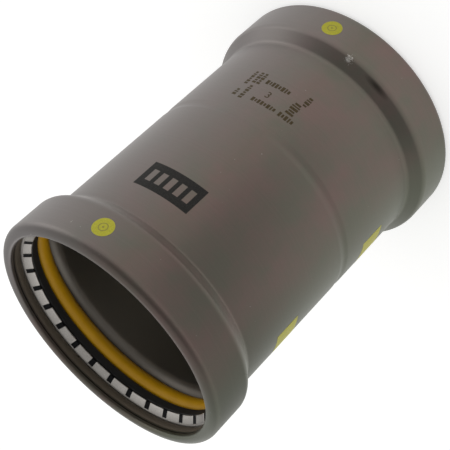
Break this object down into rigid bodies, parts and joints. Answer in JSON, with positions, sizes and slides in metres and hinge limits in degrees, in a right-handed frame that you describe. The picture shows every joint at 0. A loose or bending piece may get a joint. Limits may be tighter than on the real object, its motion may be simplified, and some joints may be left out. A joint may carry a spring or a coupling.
{
  "type": "press fit coupling",
  "caption": "Straight press fit coupling: a formed steel sleeve with a beaded socket at each end, each holding a slotted grip ring, a separator ring and a rubber seal.",
  "frame": {"origin": "the middle of the sleeve on its axis", "axes": "+Z along the sleeve's axis, out of the mouth that the picture shows; the printed marks face -Y and +X"},
  "size_m": [0.1058, 0.1058, 0.152],
  "materials": {
    "coated_steel": "satin zinc nickel coat, brownish grey",
    "grip_steel": "brushed stainless steel",
    "black_plastic": "moulded black plastic",
    "seal_rubber": "moulded yellow rubber",
    "yellow_paint": "printed yellow spot",
    "grey_print": "printed dark grey field",
    "etched_mark": "brown laser etched size mark"
  },
  "bodies": {
    "root": {"coupling_body": "coated_steel", "top_grip_ring": "grip_steel", "top_separator_ring": "black_plastic", "top_seal_ring": "seal_rubber", "bottom_grip_ring": "grip_steel", "bottom_separator_ring": "black_plastic", "bottom_seal_ring": "seal_rubber"}
  },
  "joints": []
}
